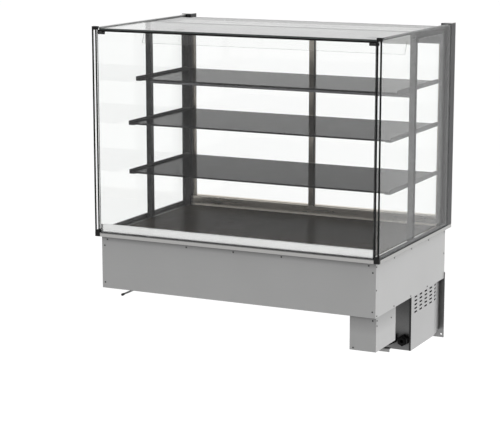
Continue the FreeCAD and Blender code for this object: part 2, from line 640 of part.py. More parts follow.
def cross_rails():
    """Front and rear rails of the canopy and the bar under the upper shelf."""
    rail = box(-POST_IN_X, POST_IN_X, MID_POST_Y, MID_POST_Y + TUBE,
               RAIL_TOP_Z - CANOPY_RAIL_H, RAIL_TOP_Z)
    bore = box(-POST_IN_X, POST_IN_X, MID_POST_Y + SHEET, MID_POST_Y + TUBE - SHEET,
               RAIL_TOP_Z - CANOPY_RAIL_H + SHEET, RAIL_TOP_Z - SHEET)
    save("canopy_front_rail", rail.cut(bore))
    header = box(-POST_IN_X, POST_IN_X, COLUMN_FRONT_Y, HALF_D, HEADER_BOTTOM_Z, HEADER_TOP_Z)
    track_top = HEADER_BOTTOM_Z + 2.0 * TRACK_DEPTH
    hollow = box(-POST_IN_X, POST_IN_X, COLUMN_FRONT_Y + SHEET, HALF_D - SHEET,
                 track_top + SHEET, HEADER_TOP_Z - SHEET)
    header = header.cut(hollow)
    for y in (DOOR_FRONT_TRACK_Y, DOOR_REAR_TRACK_Y):
        header = header.cut(box(-POST_IN_X, POST_IN_X, y - TRACK_PLAY, y + DOOR_T + TRACK_PLAY,
                                HEADER_BOTTOM_Z, track_top))
    save("rear_header", header)
    bar_top = SHELF_ARM_BOTTOM_Z[2]
    bar = box(-POST_IN_X, POST_IN_X, MID_POST_Y, MID_POST_Y + TUBE, bar_top - TUBE, bar_top)
    bar_bore = box(-POST_IN_X, POST_IN_X, MID_POST_Y + TUBE_WALL, MID_POST_Y + TUBE - TUBE_WALL,
                   bar_top - TUBE + TUBE_WALL, bar_top - TUBE_WALL)
    save("upper_cross_bar", bar.cut(bar_bore))


def canopy():
    """Ribbed sheet between the canopy rails and the lamp profile under it."""
    y0 = MID_POST_Y + TUBE
    y1 = COLUMN_FRONT_Y
    z_sheet = RAIL_TOP_Z - CANOPY_SHEET_DROP
    half = POST_IN_X
    sheet = box(-half, half, y0, y1, z_sheet, z_sheet + SHEET)
    hollows = []
    for yc in RIB_Y:
        ya = yc - RIB_W / 2
        yb = yc + RIB_W / 2
        sheet = sheet.fuse(box(-half, half, ya, yb, z_sheet, z_sheet + RIB_H))
        hollows.append(box(-half, half, ya + SHEET, yb - SHEET, z_sheet, z_sheet + RIB_H - SHEET))
    save("canopy_sheet", sheet.cut(hollows).removeSplitter())
    half = POST_IN_X - LAMP_PROFILE_INSET
    ya, yb = LAMP_PROFILE_Y
    low = z_sheet - LAMP_PROFILE_H
    wall = LAMP_PROFILE_WALL
    housing = box(-half, half, ya, yb, low, z_sheet)
    recess = box(-half + wall, half - wall, ya + wall, yb - wall, low, z_sheet - SHEET)
    save("lamp_housing", housing.cut(recess))
    gap = wall + 0.5
    save("lamp_diffuser", box(-half + gap, half - gap, ya + gap, yb - gap, low + 1.0, low + 1.0 + DIFFUSER_T))


def air_deflector():
    """Clear plate hanging in front of the canopy rail on two small clips."""
    y_low, z_low = DEFLECTOR_LOWER
    y_up, z_up = DEFLECTOR_UPPER
    outline = [(y_low, z_low), (y_low + DEFLECTOR_T, z_low), (y_up + DEFLECTOR_T, z_up), (y_up, z_up)]
    save("air_deflector", prism_x(outline, -DEFLECTOR_HALF, DEFLECTOR_HALF))
    clips = []
    for x in CLIP_X:
        clips.append(box(x - CLIP_W / 2, x + CLIP_W / 2, y_up, MID_POST_Y, z_up, z_up + CLIP_T))
    save("deflector_clips", *clips)


# ---------- glass housing ----------

def side_walls():
    """Double-glazed side walls with their edge seals and corner blocks."""
    y0 = -HALF_D
    y1 = COLUMN_FRONT_Y
    z0 = FLANGE_TOP_Z + SEAL_H
    z1 = GLASS_TOP_Z - WALL_CAP_H
    front = y0 + WALL_CAP_L
    foot_y = y0 + CORNER_BLOCK_DEPTH
    gap0 = INNER_X + PANE_T
    gap1 = HALF_W - PANE_T
    save_sides("side_pane_inner", box(INNER_X, gap0, y0, y1, z0, z1))
    save_sides("side_pane_outer", box(gap1, HALF_W, y0, y1, z0, z1))
    save_twins("side_bottom_seals", box(INNER_X, HALF_W, foot_y, y1, FLANGE_TOP_Z, z0))
    top_spacer = box(gap0, gap1, front, y1, z1 - SPACER_W, z1)
    rear_spacer = box(gap0, gap1, y1 - SPACER_REAR_W, y1, z0, z1 - SPACER_W)
    foot_spacer = box(gap0, gap1, front, y1 - SPACER_REAR_W, z0, z0 + SPACER_FOOT_H)
    save_twins("glazing_spacers", top_spacer.fuse([rear_spacer, foot_spacer]).removeSplitter())
    cap = box(INNER_X, HALF_W, y0, front, z1, GLASS_TOP_Z)
    plug = box(gap0, gap1, y0, front, z1 - WALL_PLUG_H, z1)
    upper = cap.fuse(plug).removeSplitter()
    foot = box(INNER_X, HALF_W, y0, foot_y, FLANGE_TOP_Z, z0)
    low_plug = box(gap0, gap1, y0, front, z0, z0 + SPACER_FOOT_H)
    lower = low_plug.fuse(foot).removeSplitter()
    save("wall_corner_blocks", upper, mirrored(upper), lower, mirrored(lower))


def roof_pane():
    """Glass roof lying on the side rails between the side walls."""
    half = INNER_X - 0.5
    save("roof_pane", box(-half, half, ROOF_FRONT_Y, ROOF_REAR_Y, RAIL_TOP_Z, RAIL_TOP_Z + ROOF_T))


def front_glass():
    """Front pane, its lower seal, and the hinge blocks and clamps in the top corners."""
    half = INNER_X - 2.0
    y0 = -HALF_D
    y1 = -HALF_D + FRONT_GLASS_T
    save("front_glass", box(-half, half, y0, y1, FRONT_GLASS_BOTTOM_Z, FRONT_GLASS_TOP_Z))
    save("front_seal", box(-INNER_X, INNER_X, y0, y1 + 3.0, FLANGE_TOP_Z, FRONT_GLASS_BOTTOM_Z - 1.0))

    block_x0 = INNER_X - HINGE_BLOCK_W
    front = y1 + HINGE_PLAY
    neck_z = HINGE_Z - HINGE_NECK_H
    low = neck_z - HINGE_BLOCK_H
    rear = HINGE_Y + HINGE_BOSS_R
    body = box(block_x0, INNER_X, front, front + HINGE_BLOCK_DEPTH, low, neck_z)
    neck = box(block_x0, INNER_X, front, rear, neck_z, HINGE_Z)
    boss = cylinder(HINGE_BOSS_R, HINGE_BLOCK_W, (block_x0, HINGE_Y, HINGE_Z), (1, 0, 0))
    hole = cylinder(HINGE_HOLE_R, HINGE_BLOCK_W - 2.0, (block_x0, HINGE_Y, HINGE_Z), (1, 0, 0))
    block = body.fuse([neck, boss]).cut(hole).removeSplitter()
    save_twins("hinge_blocks", block)

    clamp_x1 = block_x0 - HINGE_PLAY
    clamp = box(clamp_x1 - HINGE_CLAMP_W, clamp_x1, y1, rear, low, HINGE_Z + HINGE_CLAMP_RISE)
    pin_l = PIN_ROOT + HINGE_BLOCK_W - 2.0 - PIN_END_PLAY
    pin = cylinder(HINGE_PIN_R, pin_l, (clamp_x1 - PIN_ROOT, HINGE_Y, HINGE_Z), (1, 0, 0))
    save_twins("hinge_clamps", clamp.fuse(pin).removeSplitter())


# ---------- shelves ----------

def shelf(name, bottom, front_y):
    """One shelf: a smoked glass plate lying in two angle arms bolted to the posts."""
    rear_y = REAR_POST_Y + TUBE - ARM_TAIL
    top = bottom + ARM_H
    outline = [(front_y, bottom), (rear_y, bottom), (rear_y, top - ARM_TAIL_DROP),
               (REAR_POST_Y - ARM_TAIL_START, top), (front_y, top)]
    web = prism_x(outline, POST_IN_X - ARM_T, POST_IN_X)
    lip = box(POST_IN_X - ARM_LIP, POST_IN_X - ARM_T, front_y, REAR_POST_Y, bottom, bottom + ARM_LIP_T)
    save_twins(name + "_shelf_arms", web.fuse(lip).removeSplitter())
    half = POST_IN_X - ARM_T - SHELF_PLAY
    glass_z = bottom + ARM_LIP_T
    save(name + "_shelf_glass", box(-half, half, front_y + 1.0, REAR_POST_Y, glass_z,
                                    glass_z + SHELF_GLASS_T))


# ---------- sliding doors ----------

def span(a, b):
    """The two limits in rising order."""
    return sorted((a, b))


def sliding_door(name, y, inner_x, outer_x):
    """Glass door with a brushed stile at the meeting edge, a black one outside with a finger grip."""
    z0, z1 = DOOR_BOTTOM_Z, DOOR_TOP_Z
    out = 1 if outer_x > inner_x else -1
    pane_y = y + (DOOR_T - DOOR_PANE_T) / 2
    pane_in = inner_x + out * (DOOR_STILE - DOOR_GROOVE)
    pane_out = outer_x - out * (DOOR_JAMB - DOOR_JAMB_GROOVE)
    stile = box(*span(inner_x, inner_x + out * DOOR_STILE), y, y + DOOR_T, z0, z1)
    groove = box(*span(pane_in, inner_x + out * DOOR_STILE), pane_y, pane_y + DOOR_PANE_T, z0, z1)
    jamb_x = span(outer_x - out * DOOR_JAMB, outer_x)
    jamb = box(*jamb_x, y, y + DOOR_T, z0, z1)
    seat = box(*span(outer_x - out * DOOR_JAMB, pane_out), pane_y, pane_y + DOOR_PANE_T, z0, z1)
    finger = box(*jamb_x, y + DOOR_T, y + DOOR_T + FINGER_T, *FINGER_Z)
    save(name + "_stiles", stile.cut(groove), jamb.cut(seat).fuse(finger).removeSplitter())
    save(name + "_pane", box(*span(pane_in, pane_out), pane_y, pane_y + DOOR_PANE_T, z0, z1))


# ---------- screws ----------

def pan_screws(places, outwards):
    """Screw heads with short shanks, seated on a sheet face."""
    inwards = tuple(-value for value in outwards)
    made = []
    for place in places:
        head = cylinder(SCREW_HEAD_R, SCREW_HEAD_H, place, outwards)
        made.append(head.fuse(cylinder(SCREW_R, SHEET, place, inwards)).removeSplitter())
    return made


def screws():
    """All small casing screws in one node."""
    fronts = pan_screws(front_screw_places() + box_front_screw_places(), (0, -1, 0))
    sides = pan_screws(side_screw_places(), (1, 0, 0))
    twins = [mirrored(screw) for screw in sides]
    save("casing_screws", *fronts, *sides, *twins, *pan_screws(box_side_screw_places(), (1, 0, 0)))


os.makedirs("parts", exist_ok=True)
counter_flange()
heated_deck()
upstands()
rear_sill()
casing()
front_service_box()
rear_service_box()
cable_glands()
control_panel()
rocker_switch()
thermostat()
indicator_lamps()
drain_tube()
side_frames()
rear_columns()
cross_rails()
canopy()
air_deflector()
side_walls()
roof_pane()
front_glass()
for shelf_name, arm_bottom, arm_front in zip(SHELF_NAMES, SHELF_ARM_BOTTOM_Z, SHELF_ARM_FRONT_Y):
    shelf(shelf_name, arm_bottom, arm_front)
sliding_door("door_left", DOOR_FRONT_TRACK_Y, DOOR_LAP_X, -DOOR_OUTER_X)
sliding_door("door_right", DOOR_REAR_TRACK_Y, -DOOR_LAP_X, DOOR_OUTER_X)
screws()
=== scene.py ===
import math
import bpy
import bmesh
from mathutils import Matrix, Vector

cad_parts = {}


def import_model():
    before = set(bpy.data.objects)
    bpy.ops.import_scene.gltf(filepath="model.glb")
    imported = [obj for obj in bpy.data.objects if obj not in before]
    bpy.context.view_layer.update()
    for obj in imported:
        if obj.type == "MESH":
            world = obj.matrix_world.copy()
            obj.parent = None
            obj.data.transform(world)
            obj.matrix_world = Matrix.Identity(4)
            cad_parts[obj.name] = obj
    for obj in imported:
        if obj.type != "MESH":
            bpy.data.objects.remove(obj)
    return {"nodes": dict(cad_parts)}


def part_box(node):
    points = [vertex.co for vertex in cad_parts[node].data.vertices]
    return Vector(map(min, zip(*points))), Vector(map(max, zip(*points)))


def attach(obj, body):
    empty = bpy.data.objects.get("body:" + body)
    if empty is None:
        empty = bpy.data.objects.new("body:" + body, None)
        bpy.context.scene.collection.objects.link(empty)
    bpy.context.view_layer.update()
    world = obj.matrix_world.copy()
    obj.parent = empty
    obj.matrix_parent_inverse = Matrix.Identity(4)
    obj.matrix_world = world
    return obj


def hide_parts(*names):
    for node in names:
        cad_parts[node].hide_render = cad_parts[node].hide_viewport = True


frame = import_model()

MM = 0.001
CREASE = math.radians(35)      # smooth shading breaks above this angle
LAMP_GLOW = 4.0                # emission of the canopy lamp's diffuser
FLOOR_GLOW = 0.14              # emission of the studio floor
FLOOR_Z = -1.0
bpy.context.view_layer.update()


# ---------------------------------------------------------------- materials

def new_material(name):
    mat = bpy.data.materials.new(name)
    mat.use_nodes = True
    tree = mat.node_tree
    return mat, tree, tree.nodes["Principled BSDF"]


def node(tree, kind, **inputs):
    made = tree.nodes.new(kind)
    for key, value in inputs.items():
        made.inputs[key.replace("_", " ")].default_value = value
    return made


def noise(tree, coords, stretch, scale, detail=4.0, rough=0.55):
    mapping = tree.nodes.new("ShaderNodeMapping")
    mapping.inputs["Scale"].default_value = stretch
    tree.links.new(coords, mapping.inputs["Vector"])
    tex = node(tree, "ShaderNodeTexNoise", Scale=scale, Detail=detail, Roughness=rough)
    tree.links.new(mapping.outputs["Vector"], tex.inputs["Vector"])
    return tex.outputs["Fac"]


def remap(tree, value, low, high, a=0.3, b=0.7):
    ramp = node(tree, "ShaderNodeMapRange", From_Min=a, From_Max=b, To_Min=low, To_Max=high)
    tree.links.new(value, ramp.inputs["Value"])
    return ramp.outputs["Result"]


def shade(colour, factor):
    return tuple(min(1.0, c * factor) for c in colour[:3]) + (1.0,)


def scaled(tree, colour, factor):
    """Colour times a grey factor."""
    made = tree.nodes.new("ShaderNodeVectorMath")
    made.operation = "SCALE"
    tree.links.new(colour, made.inputs[0])
    tree.links.new(factor, made.inputs["Scale"])
    return made.outputs["Vector"]


def normal_part(tree, geometry, axis):
    """One component of the surface normal."""
    parts = tree.nodes.new("ShaderNodeSeparateXYZ")
    tree.links.new(geometry.outputs["Normal"], parts.inputs["Vector"])
    return parts.outputs[axis]


def surface(name, colour, rough, metal=0.0, stretch=(1, 1, 1), grain=60.0, tint=0.08, rough_spread=0.08,
            bump=0.0002, cloud=4.0, edge=0.0006, wear=0.25, specular=0.5, painted_shade_y=1.0, painted_shade_sides=1.0,
            corners=0.0, painted_shade_z=None, ior=1.5):
    """Base colour, roughness and relief from a fine grain and a broad cloud; edges are softened and worn.

    The Y factor scales the colour of faces that look along Y: painted shade on those faces;
    the sides factor scales the colour of all faces but those that look up: painted shade on the sides;
    corners is the reach in metres of the painted shade laid into corners; the height shade is (z of full
    shade, z of none, colour factor): painted shade graded by height.
    """
    mat, tree, bsdf = new_material(name)
    link = tree.links.new
    coords = tree.nodes.new("ShaderNodeTexCoord").outputs["Object"]
    fine = noise(tree, coords, stretch, grain)
    broad = noise(tree, coords, (1, 1, 1), cloud, 5.0, 0.6)
    mix = node(tree, "ShaderNodeMix")
    mix.data_type = "RGBA"
    mix.inputs["A"].default_value = shade(colour, 1 - tint)
    mix.inputs["B"].default_value = shade(colour, 1 + tint)
    blend = tree.nodes.new("ShaderNodeMath")
    blend.operation = "ADD"
    link(remap(tree, fine, 0.0, 0.6), blend.inputs[0])
    link(remap(tree, broad, 0.0, 0.4), blend.inputs[1])
    link(blend.outputs["Value"], mix.inputs["Factor"])
    bevel = node(tree, "ShaderNodeBevel", Radius=edge)
    bevel.samples = 4
    geometry = tree.nodes.new("ShaderNodeNewGeometry")
    dot = tree.nodes.new("ShaderNodeVectorMath")
    dot.operation = "DOT_PRODUCT"
    link(bevel.outputs["Normal"], dot.inputs[0])
    link(geometry.outputs["Normal"], dot.inputs[1])
    rim = remap(tree, dot.outputs["Value"], wear, 0.0, 0.75, 0.995)
    worn = node(tree, "ShaderNodeMix")
    worn.data_type = "RGBA"
    worn.inputs["B"].default_value = shade(tuple(0.5 * c + 0.25 for c in colour[:3]), 1.0)
    link(rim, worn.inputs["Factor"])
    link(mix.outputs["Result"], worn.inputs["A"])
    colour_out = worn.outputs["Result"]
    # Painted shade: faces that look along Y are drawn darker.
    if painted_shade_y != 1.0:
        along = tree.nodes.new("ShaderNodeMath")
        along.operation = "ABSOLUTE"
        link(normal_part(tree, geometry, "Y"), along.inputs[0])
        colour_out = scaled(tree, colour_out, remap(tree, along.outputs["Value"], 1.0, painted_shade_y, 0.2, 0.9))
    # Painted shade: every face but those that look up is drawn darker.
    if painted_shade_sides != 1.0:
        up = normal_part(tree, geometry, "Z")
        colour_out = scaled(tree, colour_out, remap(tree, up, painted_shade_sides, 1.0, 0.3, 0.9))
    # Painted shade graded by height in object space.
    if painted_shade_z:
        parts = tree.nodes.new("ShaderNodeSeparateXYZ")
        link(coords, parts.inputs["Vector"])
        shade_z, clear_z, factor = painted_shade_z
        colour_out = scaled(tree, colour_out,
                            remap(tree, parts.outputs["Z"], factor, 1.0, shade_z, clear_z))
    # Painted shade in corners and recesses, from an ambient occlusion node.
    if corners:
        shade_node = node(tree, "ShaderNodeAmbientOcclusion", Distance=corners)
        shade_node.samples = 8
        colour_out = scaled(tree, colour_out, remap(tree, shade_node.outputs["AO"], 0.22, 1.0, 0.25, 0.95))
    link(colour_out, bsdf.inputs["Base Color"])
    add = tree.nodes.new("ShaderNodeMath")
    add.operation = "ADD"
    link(remap(tree, fine, rough - rough_spread / 2, rough + rough_spread / 2), add.inputs[0])
    link(remap(tree, broad, -rough_spread / 2, rough_spread / 2), add.inputs[1])
    link(add.outputs["Value"], bsdf.inputs["Roughness"])
    relief = node(tree, "ShaderNodeBump", Strength=0.6, Distance=bump)
    link(fine, relief.inputs["Height"])
    link(bevel.outputs["Normal"], relief.inputs["Normal"])
    link(relief.outputs["Normal"], bsdf.inputs["Normal"])
    bsdf.inputs["Metallic"].default_value = metal
    bsdf.inputs["Specular IOR Level"].default_value = specular
    bsdf.inputs["IOR"].default_value = ior
    return mat


def glass(name, colour, ior):
    """Float glass with faint wiped smears and almost invisible waviness."""
    smear = 0.02
    mat, tree, bsdf = new_material(name)
    link = tree.links.new
    coords = tree.nodes.new("ShaderNodeTexCoord").outputs["Object"]
    wiped = noise(tree, coords, (1, 1, 3), 3.0, 6.0, 0.65)
    link(remap(tree, wiped, 0.0, smear, 0.55, 0.8), bsdf.inputs["Roughness"])
    mix = node(tree, "ShaderNodeMix")
    mix.data_type = "RGBA"
    mix.inputs["A"].default_value = shade(colour, 1.0)
    mix.inputs["B"].default_value = shade(colour, 0.985)
    link(wiped, mix.inputs["Factor"])
    link(mix.outputs["Result"], bsdf.inputs["Base Color"])
    relief = node(tree, "ShaderNodeBump", Strength=0.05, Distance=0.0001)
    link(wiped, relief.inputs["Height"])
    link(relief.outputs["Normal"], bsdf.inputs["Normal"])
    bsdf.inputs["IOR"].default_value = ior
    bsdf.inputs["Transmission Weight"].default_value = 1.0
    return mat


STEEL = (0.50, 0.50, 0.498)
CLEAR = (0.988, 0.992, 0.989)
M = {
    # Every steel finish below paints shade into its colour: faces that look along Y drawn darker, corners
    # darker still.
    "steel_x": surface("steel_brushed_x", STEEL, 0.40, 1.0, (1, 60, 60), 8.0, 0.04, 0.10, 0.00004,
                       painted_shade_y=0.72, corners=0.10),
    # Painted shadow under the flange lip along the top of the casing front.
    "steel_front": surface("steel_front_sheet", STEEL, 0.40, 1.0, (1, 60, 60), 8.0, 0.04, 0.10, 0.00004,
                           painted_shade_y=0.72, corners=0.10, painted_shade_z=(0.414, 0.398, 0.78)),
    "steel_y": surface("steel_brushed_y", STEEL, 0.40, 1.0, (60, 1, 60), 8.0, 0.04, 0.10, 0.00004,
                       painted_shade_y=0.72, corners=0.10),
    # Painted shadow under the casing across the top of the front service box.
    "steel_box": surface("steel_front_box", STEEL, 0.40, 1.0, (1, 60, 60), 8.0, 0.04, 0.10, 0.00004,
                         painted_shade_y=0.68, corners=0.06, painted_shade_z=(0.228, 0.165, 0.72)),
    "steel_shade": surface("steel_in_shade", (0.48, 0.48, 0.48), 0.42, 1.0, (1, 60, 60), 8.0, 0.05, 0.10,
                           0.00004, painted_shade_y=0.42, corners=0.20),
    "steel_panel": surface("steel_panel", (0.48, 0.48, 0.48), 0.42, 1.0, (1, 60, 60), 8.0, 0.05, 0.10,
                           0.00004, painted_shade_y=0.66, corners=0.08),
    # A lighter copy of the steel for the front upstand: painted highlight.
    "painted_highlight_x": surface("steel_bright_x", (0.90, 0.90, 0.895), 0.34, 1.0, (1, 60, 60), 8.0, 0.04, 0.08,
                        0.00004),
    # Flange: faces that don't look up are drawn darker, painted shade.
    "flange": surface("steel_flange", (0.95, 0.94, 0.92), 0.12, 1.0, (1, 60, 60), 8.0, 0.03, 0.05, 0.00003,
                      painted_shade_sides=0.40),
    "canopy": surface("canopy_aluminium", (0.62, 0.62, 0.615), 0.34, 0.3, (1, 60, 60), 9.0, 0.04, 0.1,
                      0.00004),
    # Frame caps and header: tops keep the light aluminium, the sides are drawn almost black as painted shade.
    "header": surface("frame_cap_aluminium", (0.74, 0.74, 0.735), 0.38, 0.3, (1, 60, 60), 9.0, 0.05, 0.1,
                      0.00004, painted_shade_sides=0.045),
    "sill": surface("steel_sill", (0.86, 0.80, 0.72), 0.30, 1.0, (1, 60, 60), 8.0, 0.06, 0.10, 0.00004),
    "screw": surface("screw_steel", (0.009, 0.009, 0.0095), 0.42, 0.0, grain=900.0, bump=0.00005, edge=0.0002,
                     wear=0.02, specular=0.15),
    "paint": surface("anthracite_powder_coat", (0.030, 0.030, 0.032), 0.42, 0.0, grain=1400.0, tint=0.12,
                     rough_spread=0.1, bump=0.00004, edge=0.001, wear=0.06, specular=0.3),
    # Painted shade in the corners of the lamp housing.
    "alu_x": surface("aluminium_brushed_x", (0.80, 0.80, 0.79), 0.36, 1.0, (1, 60, 60), 9.0, 0.05, 0.1,
                     0.00004, corners=0.04),
    "alu_z": surface("aluminium_brushed_z", (0.40, 0.365, 0.32), 0.33, 1.0, (60, 60, 1), 9.0, 0.06, 0.1,
                     0.00004, wear=0.06),
    "drain": surface("drain_tube_steel", (0.16, 0.16, 0.16), 0.4, 1.0, grain=60.0, bump=0.00004),
    "alu_dark": surface("aluminium_dark", (0.13, 0.13, 0.135), 0.4, 1.0, (1, 60, 60), 9.0, 0.06, 0.1,
                        0.00004),
    "spacer": surface("spacer_bar", (0.06, 0.06, 0.062), 0.45, 0.6, (60, 1, 1), 20.0, 0.1, 0.1, 0.00003),
    "spacer_light": surface("spacer_bar_light", (0.80, 0.80, 0.80), 0.4, 0.3, (60, 1, 1), 20.0, 0.04, 0.1,
                            0.00003),
    "deck": surface("glass_ceramic", (0.046, 0.036, 0.026), 0.26, 0.0, grain=2200.0, tint=0.25,
                    rough_spread=0.06, bump=0.000004, wear=0.02, ior=1.04),
    "smoked": surface("smoked_shelf_glass", (0.014, 0.014, 0.015), 0.08, 0.0, grain=500.0, tint=0.2,
                      rough_spread=0.04, bump=0.000002, wear=0.0, ior=1.06),
    "plastic": surface("black_plastic", (0.010, 0.010, 0.010), 0.5, 0.0, grain=1500.0, tint=0.15,
                       bump=0.00006, edge=0.0008, wear=0.02, specular=0.2),
    "gloss": surface("black_gloss_plastic", (0.012, 0.012, 0.012), 0.22, 0.0, grain=900.0, tint=0.15,
                     bump=0.00002, edge=0.0005, wear=0.02),
    "gland": surface("gland_black", (0.004, 0.004, 0.004), 0.5, 0.0, grain=1500.0, tint=0.15, bump=0.00006,
                     edge=0.0008, wear=0.01, specular=0.08),
    "seal_grey": surface("seal_grey", (0.16, 0.16, 0.16), 0.6, 0.0, grain=1100.0, tint=0.1, bump=0.00006,
                         wear=0.02, specular=0.3),
    "rubber": surface("seal_rubber", (0.020, 0.020, 0.020), 0.62, 0.0, grain=1100.0, tint=0.15, bump=0.00006,
                      wear=0.02, specular=0.3),
    "edge": surface("polished_glass_edge", (0.10, 0.115, 0.11), 0.16, 0.0, grain=160.0, tint=0.25,
                    rough_spread=0.1, bump=0.00003, wear=0.0, edge=0.0003),
    "edge_dark": surface("black_ground_edge", (0.006, 0.006, 0.006), 0.35, 0.0, grain=160.0, tint=0.2,
                         rough_spread=0.1, bump=0.00003, wear=0.0, edge=0.0003, specular=0.15),
    "lens": surface("lamp_lens", (0.86, 0.85, 0.82), 0.35, 0.0, grain=700.0, tint=0.04, bump=0.00005),
    "amber": surface("indicator_lens", (0.55, 0.12, 0.02), 0.18, 0.0, grain=500.0, tint=0.1, bump=0.00003),
    "print": surface("white_print", (0.75, 0.75, 0.74), 0.5, 0.0, grain=1200.0, tint=0.05, bump=0.00002),
    "clear": glass("clear_glass", CLEAR, ior=1.3),
    "roof": glass("roof_glass", CLEAR, ior=1.1),
    "wall": glass("wall_glass", CLEAR, ior=1.15),
}
lens = M["lens"].node_tree.nodes["Principled BSDF"]
lens.inputs["Emission Color"].default_value = (1.0, 0.93, 0.82, 1.0)
lens.inputs["Emission Strength"].default_value = LAMP_GLOW


# ---------------------------------------------------------------- mesh helpers

def mesh_piece(name, bm, materials, body="case", smooth=True):
    bmesh.ops.recalc_face_normals(bm, faces=bm.faces)
    mesh = bpy.data.meshes.new(name)
    bm.to_mesh(mesh)
    bm.free()
    obj = bpy.data.objects.new(name, mesh)
    bpy.context.scene.collection.objects.link(obj)
    for mat in materials:
        mesh.materials.append(M[mat])
    if smooth:
        mesh.shade_smooth()
        mesh.set_sharp_from_angle(angle=CREASE)
    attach(obj, body)
    return obj


def add_block(bm, lo, hi, bevel=0.0, segments=2):
    """Block between two corners with rounded edges, added to a mesh."""
    size = Vector(hi) - Vector(lo)
    centre = (Vector(hi) + Vector(lo)) / 2
    made = bmesh.ops.create_cube(bm, size=1.0)["verts"]
    for v in made:
        v.co = Vector((v.co.x * size.x, v.co.y * size.y, v.co.z * size.z)) + centre
    if bevel:
        edges = {e for v in made for e in v.link_edges}
        bmesh.ops.bevel(bm, geom=list(edges), offset=bevel, segments=segments, profile=0.5,
                        affect="EDGES")


def add_lathe(bm, profile, centre, axis, steps):
    """Turned shape: profile is (radius, height) along the axis."""
    turn = Vector((0, 0, 1)).rotation_difference(Vector(axis))
    rings = []
    for radius, height in profile:
        if radius == 0.0:
            rings.append([bm.verts.new(Vector(centre) + turn @ Vector((0, 0, height)))])
            continue
        ring = []
        for step in range(steps):
            angle = 2 * math.pi * step / steps
            point = Vector((radius * math.cos(angle), radius * math.sin(angle), height))
            ring.append(bm.verts.new(Vector(centre) + turn @ point))
        rings.append(ring)
    for a, b in zip(rings, rings[1:]):
        for i in range(steps):
            j = (i + 1) % steps
            if len(a) == 1:
                bm.faces.new((a[0], b[i], b[j]))
            elif len(b) == 1:
                bm.faces.new((a[i], a[j], b[0]))
            else:
                bm.faces.new((a[i], a[j], b[j], b[i]))


def islands(name):
    """Boxes of the separate solids of a CAD node."""
    mesh = frame["nodes"][name].data
    parent = list(range(len(mesh.vertices)))

    def find(i):
        while parent[i] != i:
            parent[i] = parent[parent[i]]
            i = parent[i]
        return i

    seen = {}
    for v in mesh.vertices:
        key = tuple(round(c, 6) for c in v.co)
        if key in seen:
            parent[find(v.index)] = find(seen[key])
        else:
            seen[key] = v.index
    for e in mesh.edges:
        parent[find(e.vertices[0])] = find(e.vertices[1])
    boxes = {}
    for v in mesh.vertices:
        root = find(v.index)
        lo, hi = boxes.setdefault(root, (v.co.copy(), v.co.copy()))
        boxes[root] = (Vector(map(min, lo, v.co)), Vector(map(max, hi, v.co)))
    return list(boxes.values())


def dress(material, *names):
    for name in names:
        data = frame["nodes"][name].data
        if data.materials:
            data.materials[0] = M[material]
        else:
            data.materials.append(M[material])


# ---------------------------------------------------------------- glass panes

def pane(name, body="case", face="clear", edge="edge", bevel=0.0007, sides=None, band=0.0):
    """Glass plate in place of a CAD node: clear faces, ground edges.

    sides picks a material by edge direction; band is the height of a black print along the top.
    """
    lo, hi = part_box(name)
    size = hi - lo
    thin = min(range(3), key=lambda i: size[i])
    bm = bmesh.new()
    add_block(bm, lo, hi, bevel, 2)
    if band:
        bmesh.ops.bisect_plane(bm, geom=bm.verts[:] + bm.edges[:] + bm.faces[:], dist=1e-6,
                               plane_co=(0, 0, hi.z - band), plane_no=(0, 0, 1))
    bmesh.ops.recalc_face_normals(bm, faces=bm.faces)
    names = [face, edge]
    for mat in (sides or {}).values():
        if mat not in names:
            names.append(mat)
    for f in bm.faces:
        if abs(f.normal[thin]) > 0.99:
            in_band = band and f.calc_center_median().z > hi.z - band
            f.material_index = 1 if in_band else 0
            continue
        f.material_index = 1
        for (axis, sign), mat in (sides or {}).items():
            if f.normal[axis] * sign > 0.5:
                f.material_index = names.index(mat)
    obj = mesh_piece(name + "_glass", bm, names, body, smooth=False)
    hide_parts(name)
    return obj


WALL_EDGES = {
    "left": {(1, -1): "edge_dark", (2, 1): "spacer_light"},
    "right": {(1, -1): "edge_dark"},
}
for side, edges in WALL_EDGES.items():
    for layer in ("inner", "outer"):
        pane(f"side_pane_{layer}_{side}", face="wall", sides=edges)
pane("front_glass", "front_glass", edge="edge_dark", sides={(2, -1): "edge"}, band=0.006)
pane("roof_pane", face="roof", sides={(1, 1): "edge_dark"})
pane("door_left_pane", "door_left")
pane("door_right_pane", "door_right")
for level in ("lower", "middle", "upper"):
    pane(level + "_shelf_glass", face="smoked", edge="edge_dark", bevel=0.0012)


def deflector():
    """Slanted clear plate whose lower edge carries a row of short dashes."""
    lo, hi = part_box("air_deflector")
    t = 4.0 * MM           # plate thickness
    dashes = 64
    bm = bmesh.new()
    section = [(lo.y, lo.z), (lo.y + t, lo.z), (hi.y, hi.z), (hi.y - t, hi.z)]
    rings = []
    for i in range(2 * dashes + 1):
        x = lo.x + (hi.x - lo.x) * i / (2 * dashes)
        rings.append([bm.verts.new((x, y, z)) for y, z in section])
    caps = [bm.faces.new(rings[0]), bm.faces.new(rings[-1])]
    for f in caps:
        f.material_index = 1
    for i in range(2 * dashes):
        for k in range(4):
            f = bm.faces.new((rings[i][k], rings[i][(k + 1) % 4], rings[i + 1][(k + 1) % 4], rings[i + 1][k]))
            lower_dash = k == 0 and i % 2 == 0
            f.material_index = 1 if lower_dash else 0
    obj = mesh_piece("air_deflector_plate", bm, ["clear", "edge"], smooth=False)
    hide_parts("air_deflector")


deflector()


